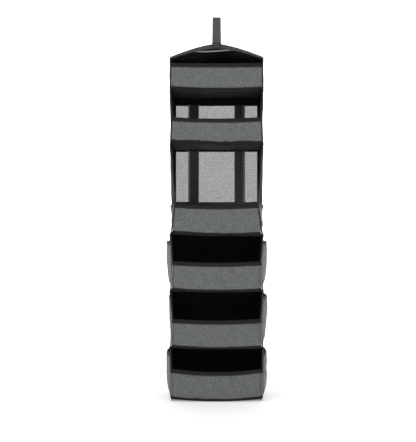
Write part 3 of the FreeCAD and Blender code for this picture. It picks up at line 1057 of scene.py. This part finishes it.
ROOF_RING = [  # from the band's inner bottom edge over the top to its outer one: how far up, and which face
    (0.0, 1.0), (0.3, 1.1), (0.85, 1.0), (1.0, 0.5), (1.0, -0.5), (0.85, -1.0), (0.5, -1.2), (0.2, -0.8),
    (0.0, -0.9),
]
INNER_EDGE, OUTER_MIDDLE = ROOF_RING[0], ROOF_RING[6]


def roof_band_place(u, up, face):
    top = CEILING[TOP_TRAY] + arch_rise(u, 0.0) + ROOF_CLOTH
    wander = 0.0004 * drift(u / 0.014, up * 3, 5.0)
    return Vector((u, (band_low.y + band_high.y) / 2 + face * 0.0013 + wander, top - band_tall(u) * (1 - up)))


roof_tape = grosgrain("polyester_tape_roof", "#3a3a38", "#525250")
band_across = steps(-side_high.x, side_high.x, 0.004)
roof_band = wrapped_tape("roof_band", band_across, ROOF_RING, roof_band_place, 0.004)
finish_piece(roof_band, roof_tape, "top", "binding", "roof_front_band")
for name, up in (("upper", 0.86), ("lower", 0.12)):
    path = []
    for u in steps(-0.126, 0.126, 0.004):
        spot = roof_band_place(u, *OUTER_MIDDLE)
        spot.z += band_tall(u) * (up - 0.5)
        path.append(spot + Vector((0, 0.0002 - TAPE / 2, 0)))
    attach(stitch_rows(f"roof_band_stitches_{name}", [(path, FORWARDS)], dark_thread), "top")

HEM_RISE = 0.006  # from the band's bottom edge up to the turned cloth's seam behind it
hem_across = steps(-0.065, 0.05, 0.005)


def hem_place(u, v):
    fall = 0.0085 * max(0.0, 1 - ((u + 0.01) / 0.05) ** 2) - 0.002
    down = share(v, 0.0, 2 * HEM_RISE)
    return roof_band_place(u, *INNER_EDGE) + Vector((0, 0.003, HEM_RISE - (HEM_RISE + fall) * down))


turned = sheet("roof_turned_cloth", hem_across, steps(0, 2 * HEM_RISE, 0.002), hem_place)
finish_piece(thicken(turned, PANEL / 2), panel_nylon, "top", "body_cloth")
# painted highlight: the curled edge of the black cloth is drawn in the light grey hem tape
roof_hem_highlight = tube("roof_hem_highlight", [hem_place(u, 2 * HEM_RISE) for u in hem_across], HEM_ROLL)
finish_piece(roof_hem_highlight, hem_tape, "top", "binding")


# ---- Hanging strap ----
# One length of 25 mm grey nylon webbing. Its rear end is box-stitched to the outside of the back
# panel; from there it goes over the grip and down to the roof's front edge, pulled tight.

STRAP = 0.002
strap_low, strap_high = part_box("hanging_strap")
anchor_low, anchor_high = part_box("strap_anchor")
loop_mount = next(m for m in frame["record"]["mounts"] if m["name"] == "handle_loop")
seam_joint = next(j for j in frame["joints"] if j["name"] == "strap_flip")
GRIP = loop_mount["dims"]["r_mm"] / 1000 + STRAP / 2  # to the middle of the webbing
STRAP_WIDE = strap_high.x - strap_low.x + 0.001


def tangent_angle(y, z, turn):
    """The angle about the grip's axis at which a tight strap from (y, z) meets the grip."""
    return math.atan2(z, y) + turn * math.acos(GRIP / math.hypot(y, z))


def smooth_path(corners, rounding, step=0.003):
    """Points along straight runs between corners, with each corner eased over rounding metres."""
    path = [corners[0]]
    for before, corner, after in zip(corners, corners[1:], corners[2:]):
        into, out = (corner - before).normalized(), (after - corner).normalized()
        start, end = corner - into * rounding, corner + out * rounding
        path += [start.lerp(corner, t).lerp(corner.lerp(end, t), t) for t in (0, 0.25, 0.5, 0.75, 1)]
    path.append(corners[-1])
    filled = [path[0]]
    for a, b in zip(path, path[1:]):
        parts = max(1, round((b - a).length / step))
        filled += [a.lerp(b, i / parts) for i in range(1, parts + 1)]
    return filled


tab_y = strap_low.y + STRAP / 2
tab_foot = Vector((0, tab_y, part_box("strap_hook_patch")[0].z - 0.001))
tab_top = Vector((0, tab_y, roof_high.z + 0.001))
seam = Vector((0, *seam_joint["pos_m"][1:]))
front_angle = tangent_angle(tab_top.y, tab_top.z, -1) + 2 * math.pi
rear_angle = tangent_angle(seam.y, seam.z, 1)
over = [rear_angle + (front_angle - rear_angle) * i / 24 for i in range(25)]
grip_arc = [Vector((0, GRIP * math.cos(a), GRIP * math.sin(a))) for a in over]
strap_path = smooth_path([tab_foot, tab_top, grip_arc[-1]], 0.003)
strap_path += grip_arc[-2::-1] + smooth_path([grip_arc[0], seam], 0.003)[1:]


def ribbon(name, path, wide, selvedge=0.0006):
    """A flat strip along a path in the Y-Z plane, with a row of points just inside each long edge, and
    its length."""
    lengths = distances(path)
    at = dict(zip(lengths, path))
    across = [-wide / 2, -wide / 2 + selvedge, -wide / 4, 0.0, wide / 4, wide / 2 - selvedge, wide / 2]
    return sheet(name, across, lengths, lambda u, v: at[v] + Vector((u, 0, 0))), lengths[-1]


strap_webbing = nylon_webbing("nylon_webbing_strap", "#2b2c2a", "#3d3e3b")
light_thread = sewing_thread("polyester_thread_grey", "#6a6b69", "#7d7e7b")
strap, strap_long = ribbon("strap", strap_path, STRAP_WIDE)
thicken(strap, STRAP)
softened = strap.modifiers.new("soft_edges", "BEVEL")
softened.width = 0.0005
softened.segments = 2
finish_piece(strap, strap_webbing, "strap", "webbing", "hanging_strap")

anchor_y = (anchor_low.y + anchor_high.y) / 2 + 0.0002
anchor_path = smooth_path([Vector((0, anchor_y, anchor_low.z)), Vector((0, anchor_y, anchor_high.z))], 0.003)
anchor, anchor_long = ribbon("strap_seam_end", anchor_path, STRAP_WIDE)
thicken(anchor, STRAP)
finish_piece(anchor, strap_webbing, "top", "webbing", "strap_anchor")


box_x, box_y = STRAP_WIDE / 2 - 0.0028, anchor_y + STRAP / 2
box_low, box_high = anchor_low.z + 0.003, anchor_high.z - 0.003
box = [Vector((x, box_y, z)) for x, z in (
    (-box_x, box_low), (box_x, box_low), (box_x, box_high), (-box_x, box_high),
)]
runs = list(zip(box, box[1:] + box[:1])) + [(box[0], box[2]), (box[1], box[3])]
box_rows = [([a, b], BACKWARDS) for a, b in runs]
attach(stitch_rows("strap_seam_stitches", box_rows, light_thread), "top")
tab_rows = [
    ([Vector((x, tab_y - STRAP / 2, tab_foot.z + rise)) for x in (-0.0095, 0.0095)], FORWARDS)
    for rise in (0.0022, 0.0068)
]
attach(stitch_rows("strap_tab_stitches", tab_rows, light_thread), "strap")


# ---- Hook-and-loop patches ----
# Two strips of black nylon hook-and-loop tape: the loops on the roof's front band, the hooks on the
# strap's end. Both are woven tapes with a dense pile, so they look dull and slightly furry.

def hook_and_loop(name):
    """Woven nylon tape with a short pile: black, dull, rough at the scale of half a millimetre."""
    material, tree, metres = blank_material(name)
    place = add(tree, "TexCoord").outputs["Object"]
    pile = add(tree, "TexVoronoi", {"Vector": place, "Scale": 1400.0})
    bump = add(tree, "Bump", {"Height": pile, "Distance": 0.0004, "Strength": 0.9})
    return finish_material(material, {
        "Base Color": mottled(tree, place, 500.0, "#131314", "#242426"), "Normal": bump,
        "Roughness": 0.85, "Specular IOR Level": 0.15,
    })


patch_tape = hook_and_loop("nylon_hook_and_loop")
for name in ("roof_loop_patch", "strap_hook_patch"):
    patch = frame["nodes"][name]
    patch.data.materials.clear()
    patch.data.materials.append(patch_tape)


# ---- Room ----
# A sweep of matt white paper under and behind the object, lit so that it glows a little, large soft
# lights at the front left, front right, overhead and on the paper, and a level camera.

background_paper = finish_material(blank_material("background_paper")[0], {
    "Base Color": linear("#f4f4f4"), "Roughness": 0.9, "Emission Color": linear("#ffffff"),
    "Emission Strength": 0.33,
})
FLOOR_BELOW = 0.0015  # the organizer hangs this far clear of the floor
room_z = cad_low.z - FLOOR_BELOW
profile = [Vector((0, -12.0, 0)), Vector((0, 3.0, 0)), Vector((0, 3.0, 6.0))]
sweep_path = smooth_path(profile, 1.2, 0.2)
room = sheet(
    "room", (-20.0, 20.0), range(len(sweep_path)),
    lambda x, row: (x, sweep_path[row].y, room_z + sweep_path[row].z),
)
room.data.materials.append(background_paper)


def soft_light(name, place, target, size, power):
    light = bpy.data.lights.new(name, "AREA")
    light.shape = "RECTANGLE"
    light.size, light.size_y = size
    light.energy = power
    lamp = bpy.data.objects.new(name, light)
    lamp.location = place
    lamp.rotation_euler = (Vector(target) - Vector(place)).to_track_quat("-Z", "Y").to_euler()
    bpy.context.scene.collection.objects.link(lamp)


aim = (0, -0.1, -0.5)
soft_light("key_light", (-1.7, -2.4, 0.9), aim, (1.4, 1.8), 30.0)
soft_light("fill_light", (2.2, -1.8, 0.1), aim, (1.2, 1.8), 16.0)
soft_light("top_light", (0.0, -0.4, 1.9), aim, (1.6, 1.6), 12.0)
soft_light("backdrop_light", (0.0, 1.0, 1.2), (0.0, 3.0, 0.2), (3.0, 1.2), 60.0)

world = bpy.data.worlds.new("studio")
bpy.context.scene.world = world
world.use_nodes = True
world.node_tree.nodes["Background"].inputs["Color"].default_value = linear("#ffffff")
world.node_tree.nodes["Background"].inputs["Strength"].default_value = 0.4

LENS = 67.4  # mm, for a 36 mm sensor along the picture's height: 28 degrees across
CAMERA_AWAY = 2.3  # from the front of the trays
EYE_ABOVE_BASE = 0.483  # the height of the third tray
SHIFT = (-0.0195, 0.0136)
camera_data = bpy.data.cameras.new("camera")
camera_data.lens = LENS
camera_data.sensor_width = 36.0
camera_data.shift_x, camera_data.shift_y = SHIFT
camera = bpy.data.objects.new("camera", camera_data)
bpy.context.scene.collection.objects.link(camera)
camera.location = (0.0, side_low.y - CAMERA_AWAY, cad_low.z + EYE_ABOVE_BASE)
camera.rotation_euler = (math.radians(90), 0, 0)
bpy.context.scene.camera = camera
bpy.context.scene.view_settings.view_transform = "Standard"
